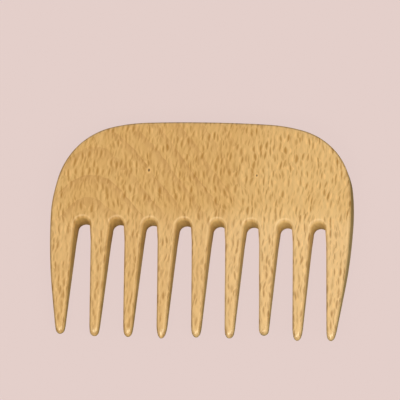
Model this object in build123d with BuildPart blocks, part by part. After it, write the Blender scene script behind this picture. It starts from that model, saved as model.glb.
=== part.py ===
from build123d import *
import os

# Wide tooth comb, cut from one board of beech.
#
# The comb lies on its back face.  X runs along the spine, Y from the tooth tips to the crown and
# Z through the thickness, with the origin under the middle of its bounding box.  The grain of the
# board runs along Y, down the teeth, because a tooth cut across the grain would snap.

# Driving dimensions, in millimetres and degrees
HEIGHT = 72.5            # crown to tooth tips
THICKNESS = 10.0         # the spine keeps the whole thickness of the board
TIP_THICKNESS = 3.2      # the teeth thin down to this, evenly from both faces
TAPER_TOP = 4.85         # height at which the thinning starts, just above the gaps
TAPER_BLEND = 90.0       # radius that eases the flat spine into the thinning

# One side of the rounded blank, as tangent arcs (radius, turn) from the middle of the crown to
# the flank of the outer tooth.  Below the last arc the flank runs straight down to the tip.
CROWN_ARC = (463.0, 2.46)
BROW_ARC = (54.2, 12.7)
SHOULDER_ARC = (23.0, 64.4)
SIDE_ARC = (64.5, 10.5)
FLANK_ARC = (185.0, 7.6)

TOOTH_COUNT = 9
TOOTH_PITCH = 11.1
GAP_TOP = 2.75           # height of the top of every gap
GAP_TOP_WIDTH = 4.1
GAP_NECK = -4.25         # height at which a gap stops widening fast
GAP_NECK_WIDTH = 5.4
GAP_FOOT_WIDTH = 8.1     # a gap flares down to this between the tips, which tapers the teeth
ROOT_RADIUS = 2.1        # rounding of the top corners of a gap, which makes it an arch
NECK_RADIUS = 30.0       # the soft bend of a gap's sides at its neck
TIP_RADIUS = 1.3         # rounding of the two corners of a tooth tip, seen from the front
EDGE_RADIUS = 1.2        # sanding of every rim, so that the comb doesn't catch hair

# Derived
CROWN_Y = HEIGHT / 2
TIP_Y = -HEIGHT / 2
GAP_COUNT = TOOTH_COUNT - 1
TIP_INSET = (THICKNESS - TIP_THICKNESS) / 2
SPAN = TOOTH_COUNT * TOOTH_PITCH
STEEPEST_FACE = 0.5      # Z of a face's normal, above which it belongs to the front or the back


def draw_half_outline():
    """The right half of the blank: the crown, the shoulder, the flank and the tip line."""
    start = Vector(0, CROWN_Y)
    heading = Vector(1, 0)
    for radius, turn in (CROWN_ARC, BROW_ARC, SHOULDER_ARC, SIDE_ARC, FLANK_ARC):
        arc = JernArc(start=start, tangent=heading, radius=radius, arc_size=-turn)
        start = arc @ 1
        heading = arc % 1
    corner = start + heading * ((TIP_Y - start.Y) / heading.Y)
    Line(start, corner)
    Line(corner, (0, TIP_Y))


# The gap between two teeth, with an arched top
with BuildSketch(mode=Mode.PRIVATE) as gap:
    with BuildLine():
        Polyline(
            (-GAP_FOOT_WIDTH / 2, TIP_Y),
            (-GAP_NECK_WIDTH / 2, GAP_NECK),
            (-GAP_TOP_WIDTH / 2, GAP_TOP),
            (GAP_TOP_WIDTH / 2, GAP_TOP),
            (GAP_NECK_WIDTH / 2, GAP_NECK),
            (GAP_FOOT_WIDTH / 2, TIP_Y),
            close=True,
        )
    make_face()
    fillet(gap.vertices().group_by(Axis.Y)[1], NECK_RADIUS)
    fillet(gap.vertices().group_by(Axis.Y)[-1], ROOT_RADIUS)

with BuildPart() as comb:
    # Front view: the blank with the gaps sawn out of it and its tips rounded
    with BuildSketch() as front:
        with BuildLine():
            draw_half_outline()
            mirror(about=Plane.YZ)
        make_face()
        with GridLocations(TOOTH_PITCH, 0, GAP_COUNT, 1):
            add(gap.sketch, mode=Mode.SUBTRACT)
        fillet(front.vertices().group_by(Axis.Y)[0], TIP_RADIUS)
    extrude(amount=THICKNESS)

    # Side view: the spine is flat and the teeth are thinned from both faces
    with BuildSketch(Plane.YZ) as side:
        with BuildLine():
            Polyline(
                (CROWN_Y, 0),
                (CROWN_Y, THICKNESS),
                (TAPER_TOP, THICKNESS),
                (TIP_Y, THICKNESS - TIP_INSET),
                (TIP_Y, TIP_INSET),
                (TAPER_TOP, 0),
                close=True,
            )
        make_face()
        fillet(side.vertices().group_by(Axis.X)[1], TAPER_BLEND)
    extrude(amount=SPAN, both=True, mode=Mode.INTERSECT)

    # The rims of both faces, all round the outline and the gaps, are sanded round
    broad_faces = comb.faces().filter_by(lambda face: abs(face.normal_at().Z) > STEEPEST_FACE)
    walls = comb.faces() - broad_faces
    fillet(walls.edges().filter_by(Axis.Z, reverse=True), EDGE_RADIUS)

os.makedirs("parts", exist_ok=True)
comb.part.label = "comb"
export_step(comb.part, "parts/comb.step")
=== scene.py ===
import math

import bpy
import numpy as np
from mathutils import Matrix, Vector, noise
from mathutils.geometry import delaunay_2d_cdt


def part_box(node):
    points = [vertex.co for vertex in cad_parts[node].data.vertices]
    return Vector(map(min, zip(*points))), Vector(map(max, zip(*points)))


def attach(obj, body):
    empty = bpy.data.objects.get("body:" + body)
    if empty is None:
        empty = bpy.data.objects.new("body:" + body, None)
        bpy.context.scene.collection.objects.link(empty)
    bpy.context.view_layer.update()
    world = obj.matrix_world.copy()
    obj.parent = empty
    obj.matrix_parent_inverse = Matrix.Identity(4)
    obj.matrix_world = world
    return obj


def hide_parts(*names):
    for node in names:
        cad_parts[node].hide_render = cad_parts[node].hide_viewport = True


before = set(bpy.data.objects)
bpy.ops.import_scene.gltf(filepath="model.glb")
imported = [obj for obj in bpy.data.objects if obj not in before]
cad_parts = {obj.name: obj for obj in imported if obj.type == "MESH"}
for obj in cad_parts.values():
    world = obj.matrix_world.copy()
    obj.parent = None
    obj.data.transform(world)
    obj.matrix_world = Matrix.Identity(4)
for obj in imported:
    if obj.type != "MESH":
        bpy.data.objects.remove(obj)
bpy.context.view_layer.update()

# The wide tooth comb: one board of beech, lying on its back face.  X runs along the spine, Y from
# the tooth tips to the crown and Z through the thickness.  The shape is worked out in millimetres
# and turned into metres once, when the mesh is made.

MM = 0.001
NODE_LOW, NODE_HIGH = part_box("comb")
SPAN_HALF = NODE_HIGH.x / MM
CROWN_Y = NODE_HIGH.y / MM
TIP_Y = NODE_LOW.y / MM
MID_Z = (NODE_LOW.z + NODE_HIGH.z) / 2 / MM
HALF_THICKNESS = (NODE_HIGH.z - NODE_LOW.z) / 2 / MM

# ---- Front outline: the CAD model's, with slightly rounder arches and tips ----------------------

# (radius, turn in degrees) from the middle of the crown down to the flank of the outer tooth
BLANK_ARCS = ((463.0, 2.46), (54.2, 12.7), (23.0, 64.4), (64.5, 10.5), (185.0, 7.6))
TOOTH_COUNT = 9
TOOTH_PITCH = 11.1
TOOTH_MIDDLES = (np.arange(TOOTH_COUNT) - (TOOTH_COUNT - 1) / 2) * TOOTH_PITCH
GAP_MIDDLES = (np.arange(TOOTH_COUNT - 1) - (TOOTH_COUNT - 2) / 2) * TOOTH_PITCH
GAP_TOP = 2.72
GAP_TOP_WIDTH = 4.1
GAP_NECK = -4.25
GAP_NECK_WIDTH = 5.4
GAP_FOOT_WIDTH = 8.1
ROOT_RADIUS = 2.2
NECK_RADIUS = 30.0
TIP_RADIUS = 1.45

# Hand work, which the CAD model leaves out: each tooth, from left to right, stands a little to one
# side, its tip is slimmer and leans, and it ends a little short of the tip line
TOOTH_SHIFT = (-0.42, 0.22, 0.15, -0.02, 0.26, 0.02, 0.15, 0.0, -0.15)
SHIFT_FADE = (4.35, 22.35)     # from full at the gaps to none in the spine
SPINE_SHIFT = 0.15
ARCH_SHIFT = -0.1              # of the top of each gap
TIP_SLIM = (0.25, 0.2, 0.3, 0.4, 0.42, 0.3, 0.42, 0.38, 0.3)   # share of its width lost at the end
TIP_SLIM_REACH = 4.4
TIP_LEAN = (0.1, -0.15, -0.15, -0.05, -0.05, 0.0, 0.0, 0.0, 0.12)
TIP_SHORT = (0.8, 0.25, 0.25, 0.0, 0.6, 0.55, 1.8, 0.25, 0.45)

STRAIGHT_STEP = 0.55     # spacing of the outline's points along a straight edge
ROUND_STEP = 0.22        # and round a small corner
ARC_STEP = 0.5           # and along the large arcs of the blank

# ---- Section through an edge, and the faces -----------------------------------------------------

RIM_RADIUS = 1.2
ARCH_RIM_RADIUS = 1.3    # round the tops of the gaps
ARCH_RIM_REACH = 6.5     # how far below them the rim is back to its common radius
ARCH_RIM_START = GAP_TOP + 0.5
RIM_SHARE = 0.86         # of the room to the middle of a tooth, which a rim never passes
RIM_SMOOTHING = 6
RIM_ROWS = 8
WALL_ROWS = 6
TAPER_TOP = 4.85
TIP_HALF_THICKNESS = 1.6
TAPER_EASE = 2.2         # how gently the flat spine turns into the thinning
TIP_THINNING = 0.45      # share of its thickness that a tooth loses in the last of its length
TIP_THINNING_REACH = 3.0
NOSE_DEPTH = 0.4         # how far the front and back edges of a tip stand back from its middle
NOSE_REACH = 5.0
NOSE_SHARE = 0.98        # just under a half circle, whose end would be too steep
FACE_STEP = 1.0
FACE_MARGIN = 0.55
TINY = 1e-6

# Unevenness of the hand sanding: (depth, length of a wave, seed)
OUTLINE_WAVER = (0.07, 9.0, 3.0)
THICKNESS_WAVER = (0.05, 11.0, 7.0)


def walk_arc(path, start, heading, radius, turn, step):
    """Adds a right-hand arc to the path, and returns where it ends and the new heading."""
    centre = start + radius * np.array((math.sin(heading), -math.cos(heading)))
    count = max(2, math.ceil(radius * turn / step))
    for i in range(count):
        angle = heading - turn * i / count
        path.append(centre + radius * np.array((-math.sin(angle), math.cos(angle))))
    heading -= turn
    return centre + radius * np.array((-math.sin(heading), math.cos(heading))), heading


def walk_line(path, start, end, step=STRAIGHT_STEP):
    """Adds a straight run to the path, with its start and without its end."""
    count = max(1, round(np.linalg.norm(end - start) / step))
    path.extend(start + (end - start) * i / count for i in range(count))


def round_corner(before, corner, after, radius):
    """The arc that rounds one corner, both its ends included."""
    into = (corner - before) / np.linalg.norm(corner - before)
    away = (after - corner) / np.linalg.norm(after - corner)
    turn = math.acos(np.clip(into @ away, -1, 1))
    cut = radius * math.tan(turn / 2)
    side = np.sign(into[0] * away[1] - into[1] * away[0])
    normal = side * np.array((-into[1], into[0]))
    centre = corner - cut * into + radius * normal
    count = max(3, math.ceil(radius * turn / ROUND_STEP))
    points = []
    for i in range(count + 1):
        angle = turn * i / count
        points.append(centre + radius * (math.sin(angle) * into - math.cos(angle) * normal))
    return points


def tooth_corners():
    """(point, radius) of each corner of the teeth, from the right tooth to the left one."""
    corners = []
    for tooth in reversed(range(TOOTH_COUNT)):
        shift = np.array((TIP_LEAN[tooth], TIP_SHORT[tooth]))
        if tooth < TOOTH_COUNT - 1:
            gap = TOOTH_MIDDLES[tooth] + TOOTH_PITCH / 2
            arch = gap + ARCH_SHIFT
            corners.append((np.array((gap + GAP_NECK_WIDTH / 2, GAP_NECK)), NECK_RADIUS))
            corners.append((np.array((arch + GAP_TOP_WIDTH / 2, GAP_TOP)), ROOT_RADIUS))
            corners.append((np.array((arch - GAP_TOP_WIDTH / 2, GAP_TOP)), ROOT_RADIUS))
            corners.append((np.array((gap - GAP_NECK_WIDTH / 2, GAP_NECK)), NECK_RADIUS))
            corners.append((np.array((gap - GAP_FOOT_WIDTH / 2, TIP_Y)) + shift, TIP_RADIUS))
        if tooth > 0:
            gap = TOOTH_MIDDLES[tooth] - TOOTH_PITCH / 2
            corners.append((np.array((gap + GAP_FOOT_WIDTH / 2, TIP_Y)) + shift, TIP_RADIUS))
    return corners


def walk_corners(corners):
    """The path from the first corner to the last one, with the corners between them rounded."""
    path = []
    last = corners[0][0]
    for i in range(1, len(corners) - 1):
        corner, radius = corners[i]
        rounding = round_corner(corners[i - 1][0], corner, corners[i + 1][0], radius)
        walk_line(path, last, rounding[0])
        path.extend(rounding[:-1])
        last = rounding[-1]
    end = corners[-1][0]
    walk_line(path, last, end)
    path.append(end)
    return path


def work_by_hand(path):
    """Slims the tips and sets each tooth to its side."""
    tooth = np.abs(path[:, :1] - TOOTH_MIDDLES).argmin(1)
    close = np.clip(1 - (path[:, 1] - TIP_Y) / TIP_SLIM_REACH, 0, 1)
    path[:, 0] -= (path[:, 0] - TOOTH_MIDDLES[tooth]) * np.array(TIP_SLIM)[tooth] * close ** 2
    low, high = SHIFT_FADE
    fade = np.clip((high - path[:, 1]) / (high - low), 0, 1)
    fade = fade ** 2 * (3 - 2 * fade)
    shift = np.interp(path[:, 0], TOOTH_MIDDLES, TOOTH_SHIFT)
    path[:, 0] += shift * fade + SPINE_SHIFT * (1 - fade)
    return path


def draw_outline():
    """The whole outline, clockwise from the middle of the crown."""
    flank = []
    place = np.array((0.0, CROWN_Y))
    heading = 0.0
    for radius, turn in BLANK_ARCS:
        place, heading = walk_arc(flank, place, heading, radius, math.radians(turn), ARC_STEP)
    slope = math.cos(heading) / math.sin(heading)
    foot_x = place[0] + slope * (TIP_Y - place[1])
    right_foot = np.array((foot_x + TIP_LEAN[-1], TIP_Y + TIP_SHORT[-1]))
    left_foot = np.array((-foot_x + TIP_LEAN[0], TIP_Y + TIP_SHORT[0]))
    mirror = np.array((-1.0, 1.0))
    corners = [(place, 0.0), (right_foot, TIP_RADIUS)] + tooth_corners()
    corners += [(left_foot, TIP_RADIUS), (place * mirror, 0.0)]
    path = flank + walk_corners(corners)
    path.extend(point * mirror for point in reversed(flank[1:]))
    return work_by_hand(np.array(path))


def inward_normals(outline):
    """Unit normals that point into the wood, for a clockwise loop."""
    along = np.roll(outline, -1, 0) - np.roll(outline, 1, 0)
    along /= np.linalg.norm(along, axis=1)[:, None]
    return np.stack((along[:, 1], -along[:, 0]), 1)


def sanded_off(points, waver):
    """How much the uneven sanding takes off at each point, from nothing to its depth."""
    depth, length, seed = waver
    waves = [noise.noise(Vector((x / length, y / length, seed))) for x, y in points[:, :2]]
    return depth * (0.5 + 0.5 * np.array(waves))


def room_inside(outline, normals):
    """Radius of the largest circle inside the outline that touches it at each point."""
    room = np.empty(len(outline))
    for i, (point, normal) in enumerate(zip(outline, normals)):
        away = outline - point
        depth = away @ normal
        square = (away ** 2).sum(1)
        ahead = depth > TINY
        room[i] = (square[ahead] / (2 * depth[ahead])).min()
    return room


def rim_radii(outline):
    """The rounding that the sanding aims at, larger round the tops of the gaps."""
    beside = np.abs(outline[:, :1] - GAP_MIDDLES).min(1)
    depth = np.where(beside < GAP_TOP_WIDTH, ARCH_RIM_START - outline[:, 1], -1.0)
    arch = np.where(depth > 0, np.clip(1 - depth / ARCH_RIM_REACH, 0, 1), 0.0)
    return RIM_RADIUS + (ARCH_RIM_RADIUS - RIM_RADIUS) * arch ** 2 * (3 - 2 * arch)


def smooth_loop(values, passes):
    """Evens out values that go round a loop."""
    for _ in range(passes):
        values = (np.roll(values, 1) + 2 * values + np.roll(values, -1)) / 4
    return values


def half_thickness(y):
    """Half the thickness at height y: flat down to the taper, then thinning evenly to the tips."""
    drop = TAPER_TOP - y
    eased = (drop + np.sqrt(drop ** 2 + TAPER_EASE ** 2)) / 2
    slope = (HALF_THICKNESS - TIP_HALF_THICKNESS) / (TAPER_TOP - TIP_Y)
    close = np.clip(1 - (y - TIP_Y) / TIP_THINNING_REACH, 0, 1)
    return (HALF_THICKNESS - slope * eased) * (1 - TIP_THINNING * close ** 2)


def section_rows():
    """(share of the rim inwards, share of the rim up, share of the wall) from front to back."""
    rows = []
    for i in range(RIM_ROWS, -1, -1):
        angle = math.pi / 2 * i / RIM_ROWS
        rows.append((1 - math.cos(angle), math.sin(angle), 1.0))
    for i in range(1, WALL_ROWS):
        rows.append((0.0, 0.0, 1 - 2 * i / WALL_ROWS))
    for i in range(RIM_ROWS + 1):
        angle = math.pi / 2 * i / RIM_ROWS
        rows.append((1 - math.cos(angle), -math.sin(angle), -1.0))
    return rows


def edge_rings(outline):
    """Rings of points over the edge, from the front face down the wall to the back face."""
    normals = inward_normals(outline)
    aim = rim_radii(outline)
    rim = np.minimum(aim, RIM_SHARE * room_inside(outline, normals))
    rim = np.minimum(rim, smooth_loop(rim, RIM_SMOOTHING))
    rings = []
    for inward, up, wall in section_rows():
        flat = outline + normals * (rim * inward)[:, None]
        half = half_thickness(flat[:, 1])
        rim_height = np.minimum(aim, RIM_SHARE * half)
        height = wall * (half - rim_height) + up * rim_height
        rings.append(np.column_stack((flat, height)))
    return rings


def inside_polygon(points, polygon):
    """True for each point inside the polygon."""
    inside = np.zeros(len(points), bool)
    x, y = points[:, 0], points[:, 1]
    for (ax, ay), (bx, by) in zip(polygon, np.roll(polygon, -1, 0)):
        if ay == by:
            continue
        crosses = (ay > y) != (by > y)
        inside ^= crosses & (x < ax + (y - ay) * (bx - ax) / (by - ay))
    return inside


def face_points(ring):
    """Points spread over a face, clear of its ring of edge points."""
    row_step = FACE_STEP * math.sqrt(3) / 2
    found = []
    for row, y in enumerate(np.arange(TIP_Y, CROWN_Y, row_step)):
        x = np.arange(-SPAN_HALF, SPAN_HALF, FACE_STEP) + (row % 2) * FACE_STEP / 2
        found.append(np.stack((x, np.full_like(x, y)), 1))
    found = np.concatenate(found)
    found = found[inside_polygon(found, ring)]
    clear = [((ring - point) ** 2).sum(1).min() > FACE_MARGIN ** 2 for point in found]
    return found[clear]


def edge_faces(ring_count, size):
    """Quads between the rings of the edge."""
    faces = []
    for row in range(ring_count - 1):
        above = row * size
        below = above + size
        for i in range(size):
            j = (i + 1) % size
            faces.append((above + i, above + j, below + j, below + i))
    return faces


def broad_faces(ring, spread, ring_count):
    """Triangles that fill the front and the back face inside the first and the last ring."""
    size = len(ring)
    last_ring = (ring_count - 1) * size
    front_start = ring_count * size
    back_start = front_start + len(spread)
    points = [Vector(point) for point in np.concatenate((ring, spread))]
    filled = delaunay_2d_cdt(points, [], [list(range(size))], 1, TINY)
    triangles = filled[2]
    source = [origin[0] for origin in filled[3]]
    faces = []
    for triangle in triangles:
        corners = [source[k] for k in triangle]
        front = [k if k < size else front_start + k - size for k in corners]
        back = [last_ring + k if k < size else back_start + k - size for k in corners]
        faces.append(tuple(front))
        faces.append(tuple(reversed(back)))
    return faces


def shape_comb():
    """The vertices in millimetres, and the faces, of the whole comb as one closed mesh."""
    outline = draw_outline()
    outline = outline + inward_normals(outline) * sanded_off(outline, OUTLINE_WAVER)[:, None]
    rings = edge_rings(outline)
    ring = rings[0][:, :2]
    spread = face_points(ring)
    height = half_thickness(spread[:, 1])
    front = np.column_stack((spread, height))
    back = np.column_stack((spread, -height))
    faces = edge_faces(len(rings), len(ring)) + broad_faces(ring, spread, len(rings))
    return np.concatenate(rings + [front, back]), faces


def round_tips(points):
    """Draws the front and back of each tip away from its end, so that it is round from the side."""
    share = np.clip(np.abs(points[:, 2]) / half_thickness(points[:, 1]), 0, 1)
    nose = 1 - np.sqrt(1 - NOSE_SHARE * share ** 2)
    reach = np.clip((points[:, 1] - TIP_Y) / NOSE_REACH, 0, 1)
    near = (1 - reach) ** 2 * (1 + 2 * reach)
    points[:, 1] += NOSE_DEPTH * nose * near


def make_comb():
    points, faces = shape_comb()
    round_tips(points)
    points[:, 2] *= 1 - sanded_off(points, THICKNESS_WAVER) / HALF_THICKNESS
    points[:, 2] += MID_Z
    mesh = bpy.data.meshes.new("beech_comb")
    mesh.from_pydata((points * MM).tolist(), [], faces)
    mesh.validate()
    mesh.polygons.foreach_set("use_smooth", [True] * len(mesh.polygons))
    mesh.update()
    comb = bpy.data.objects.new("beech_comb", mesh)
    bpy.context.scene.collection.objects.link(comb)
    return comb


# ---- Beech --------------------------------------------------------------------------------------

class Tree:
    """Short names for the node calls that the wood is made of."""

    def __init__(self, name):
        self.material = bpy.data.materials.new(name)
        self.material.use_nodes = True
        self.nodes = self.material.node_tree.nodes
        self.links = self.material.node_tree.links

    def set_input(self, node, key, value):
        if isinstance(value, bpy.types.NodeSocket):
            self.links.new(value, node.inputs[key])
        else:
            node.inputs[key].default_value = value

    def math(self, operation, *values, clamp=False):
        node = self.nodes.new("ShaderNodeMath")
        node.operation = operation
        node.use_clamp = clamp
        for i, value in enumerate(values):
            self.set_input(node, i, value)
        return node.outputs[0]

    def times(self, *values):
        """The product of two or more values."""
        product = values[0]
        for value in values[1:]:
            product = self.math("MULTIPLY", product, value)
        return product

    def around(self, value, middle, strength):
        """How far value is from its middle, times strength."""
        return self.math("MULTIPLY", self.math("SUBTRACT", value, middle), strength)

    def vector(self, operation, first, second):
        node = self.nodes.new("ShaderNodeVectorMath")
        node.operation = operation
        self.set_input(node, 0, first)
        self.set_input(node, "Scale" if operation == "SCALE" else 1, second)
        return node.outputs[0]

    def split(self, vector):
        node = self.nodes.new("ShaderNodeSeparateXYZ")
        self.links.new(vector, node.inputs[0])
        return node.outputs[:3]

    def ramp(self, value, low, high, to_low=0.0, to_high=1.0):
        """Goes smoothly from to_low to to_high as value goes from low to high."""
        node = self.nodes.new("ShaderNodeMapRange")
        node.interpolation_type = "SMOOTHSTEP"
        for key, number in (("Value", value), ("From Min", low), ("From Max", high),
                            ("To Min", to_low), ("To Max", to_high)):
            self.set_input(node, key, number)
        return node.outputs[0]

    def noise(self, vector, scale, detail, colour=False):
        node = self.nodes.new("ShaderNodeTexNoise")
        self.set_input(node, "Vector", vector)
        node.inputs["Scale"].default_value = scale
        node.inputs["Detail"].default_value = detail
        return node.outputs["Color" if colour else 0]

    def wander(self, vector, scale, detail, reach):
        """A vector that drifts by up to half of reach each way."""
        drift = self.noise(vector, scale, detail, colour=True)
        drift = self.vector("SUBTRACT", drift, (0.5, 0.5, 0.5))
        return self.vector("MULTIPLY", drift, reach)

    def mix(self, share, first, second, blend="MIX"):
        node = self.nodes.new("ShaderNodeMix")
        node.data_type = "RGBA"
        node.blend_type = blend
        self.set_input(node, "Factor", share)
        self.set_input(node, 6, first)
        self.set_input(node, 7, second)
        return node.outputs[2]


# Colours
DEEP = (0.57, 0.325, 0.102, 1)
PALE = (0.695, 0.450, 0.185, 1)
RAY = (0.33, 0.138, 0.006, 1)
LUSTRE = (0.86, 0.535, 0.21, 1)
LATE = (0.42, 0.20, 0.055, 1)
# painted sheen: the paler colour laid over the teeth for the light that their sloping taper catches
TAPER_SHEEN = (0.88, 0.65, 0.43, 1)
# painted highlight: the pale colour laid along the start of each rounded rim
RIM_HIGHLIGHT_COLOUR = (1.0, 0.70, 0.34, 1)
KNOT = (0.10, 0.045, 0.012, 1)
WALL_LIGHTENING = (1.11, 1.185, 1.09, 1)        # multiplies the colour of every face that turns sideways, walls and end grain alike: painted light that brightens them

# A ramp along X or Y, in millimetres, is (from, to, value there, value here), and a stretch is how
# many waves of a noise fit into a millimetre along X, Y and Z

# Grain
GRAIN_LEAN = 0.02                    # how far the grain leans to the right, going up
BEND_SCALE = 0.045
BEND_REACH = (4.0, 0.0, 2.0)

# Base tone, from DEEP to PALE
TONE_DOWN = (9.0, 4.0, 0.0, 1.0)     # none in the spine, all of it on the teeth
TONE_OF_TEETH = (-34.0, 22.0, 0.06, 0.46)
TONE_ACROSS = (-5.0, 48.0, 0.0, 0.8)
DRIFT_STRETCH = (0.16, 0.035, 0.1)
DRIFT_MIDDLE = 0.46
DRIFT_STRENGTH = 1.5

# Growth rings, cones about an axis below the left half of the board
RING_AXIS_X = -37.0
RING_AXIS_Z = -10.0
RING_SLOPE_X = 1.3
RING_SLOPE_Z = 0.55
RING_TOP = 138.75                    # height at which the rings are counted from
RING_PITCH = 8.9
RING_SWING = (0.08, 1.0, 4.0)        # scale, detail and strength of their slow wander
RING_TREMOR = (0.6, 2.0, 1.6)        # and of their quick one
LATE_STRENGTH = 0.9
LATE_ACROSS = (-8.0, 24.0, 1.0, 0.2)
LATE_DOWN = (-8.0, 6.0, 0.45, 1.0)

# Fibres and strokes of light
FIBRE_STRETCH = (3.2, 0.16, 1.6)
FIBRE_STRENGTH = 0.6
STROKE_STRETCH = (0.40, 0.33, 0.0)
STROKE_FREQUENCY = 1.2
STROKE_STRENGTH = 1.25
STROLL_STRETCH = (0.35, 0.15, 0.2)
STROLL_REACH = (0.9, 0.0, 0.0)
LIGHT_LEVEL = 0.42
LIGHT_ACROSS = (-10.0, 30.0, 0.44, 0.58)
LIGHT_DOWN = (-2.0, 8.0, 1.25, 1.0)

# Rays: spindles along Y, one to a cell
BROAD_RAYS = {"cell": (1.7, 2.9, 14.0), "half_width": 0.56, "half_length": 2.0, "half_depth": 11.0,
              "flank": 0.95, "shift": (0.0, 0.0, 0.0)}
FINE_RAYS = {"cell": (1.3, 2.2, 9.0), "half_width": 0.38, "half_length": 1.25, "half_depth": 7.0,
             "flank": 0.8, "shift": (7.3, 2.1, 5.7)}
RAY_SCATTER = 0.82
FLANK_WIDTH = 0.6                    # of the pale wood beside a ray, as a share of its distance
SWAY_STRETCH = (0.5, 0.24, 0.2)
SWAY_REACH = (1.3, 1.2, 0.0)
SHOWN_BY_LEVEL = (0.1, 0.75, 0.25, 1.0)
BROAD_BY_CHANCE = (0.0, 0.8, 0.35, 1.0)
BROAD_ACROSS = (-10.0, 45.0, 0.98, 1.16)
BROAD_DOWN = (-4.0, 6.0, 1.14, 1.0)
BROAD_PALE_ACROSS = (0.0, 40.0, 0.42, 0.75)
BROAD_DARK = 0.7
FINE_BY_CHANCE = (0.2, 1.0, 0.0, 1.0)
FINE_DOWN = (-4.0, 6.0, 1.3, 1.0)
FINE_PALE = 0.32
FINE_DARK = 0.45

# Painted sheen on the teeth, knots, painted highlight on the rims, painted light on the walls, and
# polish
TAPER_SHEEN_DOWN = (-2.0, 8.0, 1.0, 0.0)
TAPER_SHEEN_ACROSS = (-30.0, 20.0, 0.06, 0.12)
PIN_KNOTS = ((-18.0, 19.25, 0.48), (17.7, 18.05, 0.36))    # x, y and radius
KNOT_FLATTENING = (1.0, 0.7, 0.0)
# share of the painted rim highlight
RIM_HIGHLIGHT_SHARE = 0.16
ROUGHNESS_DOWN = (TIP_Y + 4.0, TIP_Y + 1.8, 0.42, 0.31)    # the tips are polished
SPECULAR_DOWN = (TIP_Y + 3.6, TIP_Y + 1.8, 0.55, 1.0)
SPECULAR_TINT = (1.0, 0.97, 0.72, 1)
BUMP_STRENGTH = 0.6
BUMP_HEIGHT = 0.03


def bend_grain(tree, place):
    """The place in the wood as it grew: the grain isn't quite straight, and leans."""
    grain = tree.vector("ADD", place, tree.wander(place, BEND_SCALE, 1.0, BEND_REACH))
    height = tree.split(place)[1]
    lean = tree.nodes.new("ShaderNodeCombineXYZ")
    tree.links.new(tree.math("MULTIPLY", height, -GRAIN_LEAN), lean.inputs[0])
    return tree.vector("ADD", grain, lean.outputs[0])


def base_tone(tree, place, grain):
    """Redder on the left, paler on the right and down the teeth, drifting along the grain."""
    x, y, _ = tree.split(place)
    drift = tree.noise(tree.vector("MULTIPLY", grain, DRIFT_STRETCH), 1.0, 3.0)
    tone = tree.times(tree.ramp(y, *TONE_DOWN), tree.ramp(x, *TONE_OF_TEETH))
    tone = tree.math("ADD", tone, tree.ramp(x, *TONE_ACROSS))
    return tree.math("ADD", tone, tree.around(drift, DRIFT_MIDDLE, DRIFT_STRENGTH), clamp=True)


def ring_phase(tree, place, grain):
    """From 0, where a ring ends in a sharp dark line, to 1 at the next ring down."""
    x, y, z = tree.split(place)
    side = tree.math("MULTIPLY", tree.math("SUBTRACT", x, RING_AXIS_X), RING_SLOPE_X)
    under = tree.math("MULTIPLY", tree.math("SUBTRACT", z, RING_AXIS_Z), RING_SLOPE_Z)
    squares = tree.math("ADD", tree.math("POWER", side, 2.0), tree.math("POWER", under, 2.0))
    cone = tree.math("SQRT", squares)
    scale, detail, strength = RING_SWING
    swing = tree.times(tree.noise(place, scale, detail), strength)
    scale, detail, strength = RING_TREMOR
    tremor = tree.times(tree.noise(grain, scale, detail), strength)
    height = tree.math("ADD", tree.math("ADD", y, cone), tree.math("ADD", swing, tremor))
    count = tree.math("DIVIDE", tree.math("SUBTRACT", RING_TOP, height), RING_PITCH)
    return tree.math("FRACT", count)


def late_wood(tree, place, grain):
    """Share of the darker wood that ends each growth ring, with a thin line at its end."""
    x, y, _ = tree.split(place)
    phase = ring_phase(tree, place, grain)
    line = tree.times(tree.ramp(phase, 0.14, 0.0, 0.0, 0.35), tree.ramp(y, 0.0, 7.0))
    line = tree.times(line, tree.ramp(tree.noise(place, 0.11, 0.0), 0.42, 0.6))
    late = tree.math("ADD", tree.ramp(phase, 0.62, 0.0, 0.0, 0.55), line)
    late = tree.times(late, tree.ramp(phase, 1.0, 0.84))
    late = tree.times(late, tree.ramp(x, *LATE_ACROSS), tree.ramp(y, *LATE_DOWN))
    faint = tree.ramp(tree.noise(place, 0.09, 0.0), 0.3, 0.6, 0.7, 1.0)
    return tree.times(late, faint, LATE_STRENGTH)


def strokes(tree, grain):
    """Soft light and dark strokes side by side, which stroll sideways along the grain."""
    stretched = tree.vector("MULTIPLY", grain, STROLL_STRETCH)
    stroll = tree.wander(stretched, 1.0, 1.0, STROLL_REACH)
    gabor = tree.nodes.new("ShaderNodeTexGabor")
    place = tree.vector("ADD", tree.vector("MULTIPLY", grain, STROKE_STRETCH), stroll)
    for key, value in (("Vector", place), ("Scale", 1.0), ("Frequency", STROKE_FREQUENCY),
                       ("Anisotropy", 1.0), ("Orientation", 0.0)):
        tree.set_input(gabor, key, value)
    return gabor.outputs["Value"]


def lustre(tree, place, grain, fibre):
    """Share of the bright wood that the fibres and the strokes make."""
    x, y, _ = tree.split(place)
    light = tree.math("ADD", tree.around(fibre, 0.5, FIBRE_STRENGTH),
                      tree.around(strokes(tree, grain), 0.5, STROKE_STRENGTH))
    light = tree.math("ADD", light, LIGHT_LEVEL, clamp=True)
    lit = tree.times(tree.ramp(x, *LIGHT_ACROSS), tree.ramp(y, *LIGHT_DOWN))
    return tree.times(light, lit)


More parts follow.
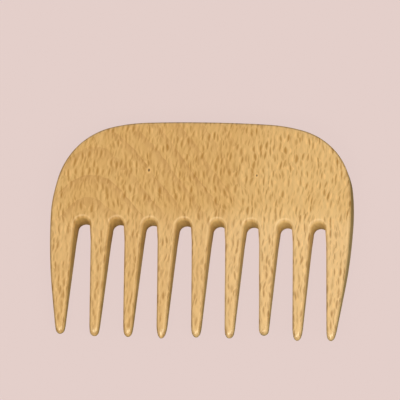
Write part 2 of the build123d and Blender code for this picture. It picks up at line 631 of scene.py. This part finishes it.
def spindles(tree, place, cell, half_width, half_length, half_depth, flank, shift):
    """Spindles along Y, one to a cell, with paler wood beside them: (dark, pale, random) sockets."""
    scaled = tree.vector("MULTIPLY", place, tuple(1 / side for side in cell))
    scaled = tree.vector("ADD", scaled, shift)
    cells = tree.nodes.new("ShaderNodeTexVoronoi")
    cells.inputs["Scale"].default_value = 1.0
    cells.inputs["Randomness"].default_value = RAY_SCATTER
    tree.set_input(cells, "Vector", scaled)
    offset = tree.vector("SUBTRACT", scaled, cells.outputs["Position"])
    across, along, deep = tree.split(offset)
    across = tree.math("MULTIPLY", tree.math("ABSOLUTE", across), cell[0])
    along = tree.math("POWER", tree.math("MULTIPLY", along, cell[1] / half_length), 2.0)
    deep = tree.math("POWER", tree.math("MULTIPLY", deep, cell[2] / half_depth), 2.0)
    ends = tree.math("ADD", along, deep)
    inner = tree.math("ADD", tree.math("DIVIDE", across, half_width), ends)
    beside = tree.math("ABSOLUTE", tree.math("SUBTRACT", across, flank))
    outer = tree.math("ADD", tree.math("DIVIDE", beside, flank * FLANK_WIDTH), ends)
    random = tree.nodes.new("ShaderNodeSeparateColor")
    tree.links.new(cells.outputs["Color"], random.inputs[0])
    return tree.ramp(inner, 1.0, 0.1), tree.ramp(outer, 1.0, 0.1), random.outputs[0]


def add_rays(tree, place, grain, level, colour):
    """The new colour and the share of dark: spindles on the faces, long bars on the walls."""
    x, y, _ = tree.split(place)
    shown = tree.ramp(level, *SHOWN_BY_LEVEL)
    stretched = tree.vector("MULTIPLY", grain, SWAY_STRETCH)
    swaying = tree.vector("ADD", grain, tree.wander(stretched, 1.0, 0.0, SWAY_REACH))

    dark, pale, chance = spindles(tree, swaying, **BROAD_RAYS)
    plain = tree.times(shown, tree.ramp(x, *BROAD_ACROSS), tree.ramp(y, *BROAD_DOWN))
    strong = tree.times(tree.ramp(chance, *BROAD_BY_CHANCE), plain)
    small, thin_pale, chance = spindles(tree, swaying, **FINE_RAYS)
    weak = tree.times(tree.ramp(chance, *FINE_BY_CHANCE), shown, tree.ramp(y, *FINE_DOWN))

    beside = tree.times(pale, strong, tree.ramp(x, *BROAD_PALE_ACROSS))
    colour = tree.mix(beside, colour, LUSTRE)
    colour = tree.mix(tree.times(thin_pale, weak, FINE_PALE), colour, LUSTRE)
    colour = tree.mix(tree.times(small, weak, FINE_DARK), colour, RAY)
    dark = tree.times(dark, strong)
    return tree.mix(tree.times(dark, BROAD_DARK), colour, RAY), dark


def add_pin_knots(tree, place, colour):
    """Two tiny knots, each in a pale halo."""
    for knot_x, knot_y, radius in PIN_KNOTS:
        away = tree.vector("SUBTRACT", place, (knot_x, knot_y, 0.0))
        away = tree.vector("MULTIPLY", away, KNOT_FLATTENING)
        length = tree.nodes.new("ShaderNodeVectorMath")
        length.operation = "LENGTH"
        tree.links.new(away, length.inputs[0])
        distance = length.outputs["Value"]
        spot = tree.ramp(distance, radius, radius * 0.4)
        halo = tree.ramp(distance, radius * 2.4, radius)
        colour = tree.mix(tree.times(halo, 0.5), colour, LUSTRE)
        colour = tree.mix(tree.times(spot, 0.9), colour, KNOT)
    return colour


def knots_and_painted_light(tree, place, level, colour):
    """Paints a paler sheen on the teeth, adds the knots, paints a highlight where each rim starts,
    and brightens the walls with painted light.
    """
    x, y, _ = tree.split(place)
    # Painted sheen: the teeth are painted paler, for the light that the sloping taper catches
    taper_sheen = tree.times(tree.ramp(y, *TAPER_SHEEN_DOWN), tree.ramp(x, *TAPER_SHEEN_ACROSS))
    colour = tree.mix(taper_sheen, colour, TAPER_SHEEN)
    colour = add_pin_knots(tree, place, colour)
    # Painted highlight: a pale band where each rim starts to turn away from the face
    rim_highlight = tree.times(tree.ramp(level, 0.99, 0.965), tree.ramp(level, 0.80, 0.90))
    colour = tree.mix(tree.times(rim_highlight, RIM_HIGHLIGHT_SHARE), colour, RIM_HIGHLIGHT_COLOUR)
    # Painted light: faces that turn sideways are brightened, as if more light fell on them
    return tree.mix(tree.ramp(level, 0.75, 0.1), colour, WALL_LIGHTENING, "MULTIPLY")


def polish(tree, place, shader):
    """Satin all over, with the tips worn smooth."""
    y = tree.split(place)[1]
    tree.set_input(shader, "Roughness", tree.ramp(y, *ROUGHNESS_DOWN))
    tree.set_input(shader, "Specular IOR Level", tree.ramp(y, *SPECULAR_DOWN))
    shader.inputs["Specular Tint"].default_value = SPECULAR_TINT


def add_relief(tree, fibre, dark, shader):
    """The fibres stand up a little, and the rays lie a little lower."""
    relief = tree.math("SUBTRACT", tree.times(fibre, 0.5), tree.times(dark, 0.5))
    bump = tree.nodes.new("ShaderNodeBump")
    bump.inputs["Strength"].default_value = BUMP_STRENGTH
    bump.inputs["Distance"].default_value = BUMP_HEIGHT * MM
    tree.set_input(bump, "Height", relief)
    tree.set_input(shader, "Normal", bump.outputs[0])


def make_beech():
    """Beech cut through the solid, so that faces, walls and end grain belong together."""
    tree = Tree("beech")
    shader = tree.nodes["Principled BSDF"]
    coordinates = tree.nodes.new("ShaderNodeTexCoord")
    place = tree.vector("SCALE", coordinates.outputs["Object"], 1 / MM)
    grain = bend_grain(tree, place)
    facing = tree.nodes.new("ShaderNodeNewGeometry")
    level = tree.math("ABSOLUTE", tree.split(facing.outputs["Normal"])[2])
    fibre = tree.noise(tree.vector("MULTIPLY", grain, FIBRE_STRETCH), 1.0, 3.0)

    colour = tree.mix(base_tone(tree, place, grain), DEEP, PALE)
    colour = tree.mix(late_wood(tree, place, grain), colour, LATE)
    colour = tree.mix(lustre(tree, place, grain, fibre), colour, LUSTRE)
    colour, dark = add_rays(tree, place, grain, level, colour)
    colour = knots_and_painted_light(tree, place, level, colour)
    tree.set_input(shader, "Base Color", colour)
    polish(tree, place, shader)
    add_relief(tree, fibre, dark, shader)
    return tree.material


# ---- Floor, light and camera --------------------------------------------------------------------

def srgb(red, green, blue):
    """A linear colour, with alpha, from screen values of 0 to 255."""
    channels = []
    for value in (red, green, blue):
        value /= 255
        channels.append(value / 12.92 if value <= 0.04045 else ((value + 0.055) / 1.055) ** 2.4)
    return (*channels, 1.0)


FLOOR_COLOUR = srgb(227.6, 206.7, 202)
FLOOR_GLOW = 0.96        # share of the floor's colour that no shadow touches
FLOOR_HALF = 30.0


def make_floor():
    """A plain pale floor, which takes hardly any shadow and lends the comb no light."""
    mesh = bpy.data.meshes.new("floor")
    corners = [(-FLOOR_HALF, -FLOOR_HALF, 0), (FLOOR_HALF, -FLOOR_HALF, 0),
               (FLOOR_HALF, FLOOR_HALF, 0), (-FLOOR_HALF, FLOOR_HALF, 0)]
    mesh.from_pydata(corners, [], [(0, 1, 2, 3)])
    floor = bpy.data.objects.new("floor", mesh)
    bpy.context.scene.collection.objects.link(floor)
    tree = Tree("floor")
    shader = tree.nodes["Principled BSDF"]
    shaded = tuple(channel * (1 - FLOOR_GLOW) for channel in FLOOR_COLOUR[:3])
    shader.inputs["Base Color"].default_value = (*shaded, 1)
    shader.inputs["Roughness"].default_value = 1.0
    shader.inputs["Specular IOR Level"].default_value = 0.0
    shader.inputs["Emission Color"].default_value = FLOOR_COLOUR
    shader.inputs["Emission Strength"].default_value = FLOOR_GLOW
    mesh.materials.append(tree.material)
    floor.visible_diffuse = False
    floor.visible_glossy = False


# (name, strength, spread in degrees, direction that it shines from, colour)
SUNS = (
    ("key", 1.5, 36, (0.56, -0.36, 0.75), (1.0, 0.985, 0.96)),
    ("front", 1.15, 20, (-0.14, -0.57, 0.81), (1.0, 0.985, 0.96)),
    ("left", 0.32, 30, (-0.5, 0.0, 0.85), (1.0, 0.98, 0.94)),
    ("back", 0.42, 70, (-0.25, 0.84, 0.48), (1.0, 0.98, 0.94)),
    ("top", 0.82, 150, (0.0, -0.1, 1.0), (1.0, 0.97, 0.92)),
)


def add_sun(name, energy, spread, direction, colour):
    light = bpy.data.lights.new(name, "SUN")
    light.energy = energy
    light.angle = math.radians(spread)
    light.color = colour
    lamp = bpy.data.objects.new(name, light)
    lamp.rotation_mode = "QUATERNION"
    lamp.rotation_quaternion = Vector(direction).to_track_quat("Z", "Y")
    lamp.location = direction
    bpy.context.scene.collection.objects.link(lamp)


def make_world():
    """The floor's colour beyond the floor, seen by the camera alone."""
    world = bpy.data.worlds.new("studio")
    world.use_nodes = True
    background = world.node_tree.nodes["Background"]
    background.inputs["Color"].default_value = FLOOR_COLOUR
    background.inputs["Strength"].default_value = 1.0
    world.cycles_visibility.diffuse = False
    world.cycles_visibility.glossy = False
    bpy.context.scene.world = world


CAMERA_AZIMUTH = 28.4
CAMERA_ELEVATION = 71.3
CAMERA_ROLL = -26.06
CAMERA_DISTANCE = 1.503
CAMERA_LENS = 413.6
CAMERA_SENSOR = 36.0
CAMERA_CLIP = (0.1, 100.0)
CAMERA_AIM = Vector((-1.3, 10.85, 5.0)) * MM


def make_camera():
    data = bpy.data.cameras.new("camera")
    data.lens = CAMERA_LENS
    data.sensor_width = CAMERA_SENSOR
    data.clip_start, data.clip_end = CAMERA_CLIP
    camera = bpy.data.objects.new("camera", data)
    turn = Matrix.Rotation(math.radians(CAMERA_AZIMUTH), 4, "Z")
    turn = turn @ Matrix.Rotation(math.radians(90 - CAMERA_ELEVATION), 4, "X")
    back = turn.col[2].xyz
    turn = turn @ Matrix.Rotation(math.radians(CAMERA_ROLL), 4, "Z")
    camera.matrix_world = Matrix.Translation(CAMERA_AIM + CAMERA_DISTANCE * back) @ turn
    bpy.context.scene.collection.objects.link(camera)
    bpy.context.scene.camera = camera


make_camera()
for sun in SUNS:
    add_sun(*sun)
make_world()
make_floor()
comb = make_comb()
comb.data.materials.append(make_beech())
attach(comb, "root")
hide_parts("comb")

bpy.context.scene.view_settings.view_transform = "Standard"
